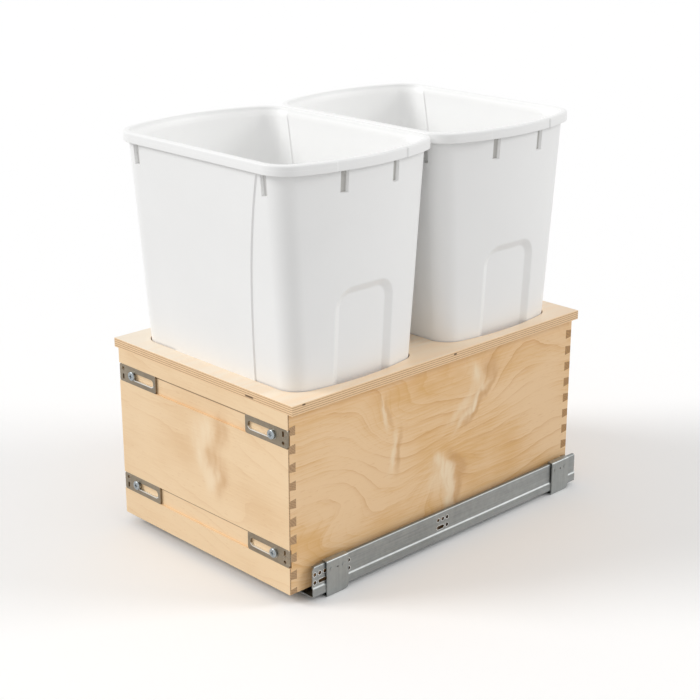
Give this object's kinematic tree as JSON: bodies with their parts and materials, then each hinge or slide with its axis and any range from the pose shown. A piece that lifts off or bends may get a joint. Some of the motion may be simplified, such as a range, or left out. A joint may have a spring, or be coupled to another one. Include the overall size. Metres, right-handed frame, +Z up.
{
  "type": "pull-out waste bin",
  "caption": "Pull-out waste unit: tapered white bins in a dovetailed maple drawer box on full-extension under-mount slides, with slotted brackets for a cabinet door.",
  "frame": {"origin": "middle of the overall box at the cabinet floor", "axes": "+X right, -Y towards the cabinet door, +Z up"},
  "size_m": [0.3786, 0.5644, 0.5655],
  "materials": {
    "maple_boards": "clear lacquered flat-sawn maple",
    "plywood": "clear lacquered birch plywood with plies showing at the edges",
    "zinc_rail": "zinc plated rolled sheet",
    "zinc_bracket": "zinc plated pressed sheet",
    "door_bracket_steel": "tumbled plated steel",
    "screw_zinc": "bright blue zinc",
    "roller_steel": "ground steel",
    "dowel_beech": "plain turned beech",
    "cage_plastic": "moulded black nylon",
    "latch_plastic": "moulded grey nylon",
    "lever_plastic": "moulded orange nylon",
    "bin_plastic": "satin moulded white polypropylene"
  },
  "bodies": {
    "slide_base": {"bracket_rivets": "zinc_bracket", "right_cabinet_rail": "zinc_rail", "right_front_floor_bracket": "zinc_bracket", "right_rear_floor_bracket": "zinc_bracket", "left_cabinet_rail": "zinc_rail", "left_front_floor_bracket": "zinc_bracket", "left_rear_floor_bracket": "zinc_bracket"},
    "drawer": {"front_panel": "maple_boards", "back_panel": "maple_boards", "bottom_panel": "plywood", "top_panel": "plywood", "top_dowels": "dowel_beech", "latch_pins": "roller_steel", "latch_screws": "screw_zinc", "clamp_screws": "screw_zinc", "right_panel": "maple_boards", "right_drawer_rail": "zinc_rail", "right_latch_housing": "latch_plastic", "left_panel": "maple_boards", "left_drawer_rail": "zinc_rail", "left_latch_housing": "latch_plastic"},
    "right_middle": {"right_middle_rail": "zinc_rail"},
    "right_lower_cage": {"right_lower_roller_cage": "cage_plastic", "right_lower_rollers": "roller_steel"},
    "right_upper_cage": {"right_upper_roller_cage": "cage_plastic", "right_upper_rollers": "roller_steel"},
    "left_middle": {"left_middle_rail": "zinc_rail"},
    "left_lower_cage": {"left_lower_roller_cage": "cage_plastic", "left_lower_rollers": "roller_steel"},
    "left_upper_cage": {"left_upper_roller_cage": "cage_plastic", "left_upper_rollers": "roller_steel"},
    "right_lever": {"right_release_lever": "lever_plastic"},
    "left_lever": {"left_release_lever": "lever_plastic"},
    "right_upper_bracket": {"right_upper_door_bracket": "door_bracket_steel"},
    "right_lower_bracket": {"right_lower_door_bracket": "door_bracket_steel"},
    "left_upper_bracket": {"left_upper_door_bracket": "door_bracket_steel"},
    "left_lower_bracket": {"left_lower_door_bracket": "door_bracket_steel"},
    "front_bin_body": {"front_bin": "bin_plastic"},
    "rear_bin_body": {"rear_bin": "bin_plastic"}
  },
  "joints": [
    {"name": "drawer_slide", "type": "slide", "parent": "slide_base", "child": "drawer", "axis": [0, -1, 0], "range_m": [0, 0.52]},
    {"name": "right_middle_slide", "type": "slide", "parent": "slide_base", "child": "right_middle", "axis": [0, -1, 0], "range_m": [0, 0.26]},
    {"name": "right_lower_cage_slide", "type": "slide", "parent": "slide_base", "child": "right_lower_cage", "axis": [0, -1, 0], "range_m": [0, 0.13]},
    {"name": "right_upper_cage_slide", "type": "slide", "parent": "slide_base", "child": "right_upper_cage", "axis": [0, -1, 0], "range_m": [0, 0.39]},
    {"name": "left_middle_slide", "type": "slide", "parent": "slide_base", "child": "left_middle", "axis": [0, -1, 0], "range_m": [0, 0.26]},
    {"name": "left_lower_cage_slide", "type": "slide", "parent": "slide_base", "child": "left_lower_cage", "axis": [0, -1, 0], "range_m": [0, 0.13]},
    {"name": "left_upper_cage_slide", "type": "slide", "parent": "slide_base", "child": "left_upper_cage", "axis": [0, -1, 0], "range_m": [0, 0.39]},
    {"name": "right_lever_hinge", "type": "hinge", "parent": "drawer", "child": "right_lever", "pos_m": [0.122, -0.2468, 0.0224], "axis": [0, 0, 1], "range_deg": [0, 12], "stiffness_Nm_per_rad": 0.05, "springref_deg": -5.73},
    {"name": "left_lever_hinge", "type": "hinge", "parent": "drawer", "child": "left_lever", "pos_m": [-0.122, -0.2468, 0.0224], "axis": [0, 0, -1], "range_deg": [0, 12], "stiffness_Nm_per_rad": 0.05, "springref_deg": -5.73},
    {"name": "right_upper_bracket_slide", "type": "slide", "parent": "drawer", "child": "right_upper_bracket", "axis": [1, 0, 0], "range_m": [-0.003, 0.0435]},
    {"name": "right_lower_bracket_slide", "type": "slide", "parent": "drawer", "child": "right_lower_bracket", "axis": [1, 0, 0], "range_m": [-0.003, 0.0435]},
    {"name": "left_upper_bracket_slide", "type": "slide", "parent": "drawer", "child": "left_upper_bracket", "axis": [-1, 0, 0], "range_m": [-0.003, 0.0435]},
    {"name": "left_lower_bracket_slide", "type": "slide", "parent": "drawer", "child": "left_lower_bracket", "axis": [-1, 0, 0], "range_m": [-0.003, 0.0435]},
    {"name": "front_bin_lift", "type": "slide", "parent": "drawer", "child": "front_bin_body", "axis": [0, 0, 1], "range_m": [0, 0.3]},
    {"name": "rear_bin_lift", "type": "slide", "parent": "drawer", "child": "rear_bin_body", "axis": [0, 0, 1], "range_m": [0, 0.3]}
  ],
  "couplings": [
    {"joint": "right_middle_slide", "follows": "drawer_slide", "ratio": 0.5},
    {"joint": "right_lower_cage_slide", "follows": "drawer_slide", "ratio": 0.25},
    {"joint": "right_upper_cage_slide", "follows": "drawer_slide", "ratio": 0.75},
    {"joint": "left_middle_slide", "follows": "drawer_slide", "ratio": 0.5},
    {"joint": "left_lower_cage_slide", "follows": "drawer_slide", "ratio": 0.25},
    {"joint": "left_upper_cage_slide", "follows": "drawer_slide", "ratio": 0.75}
  ]
}
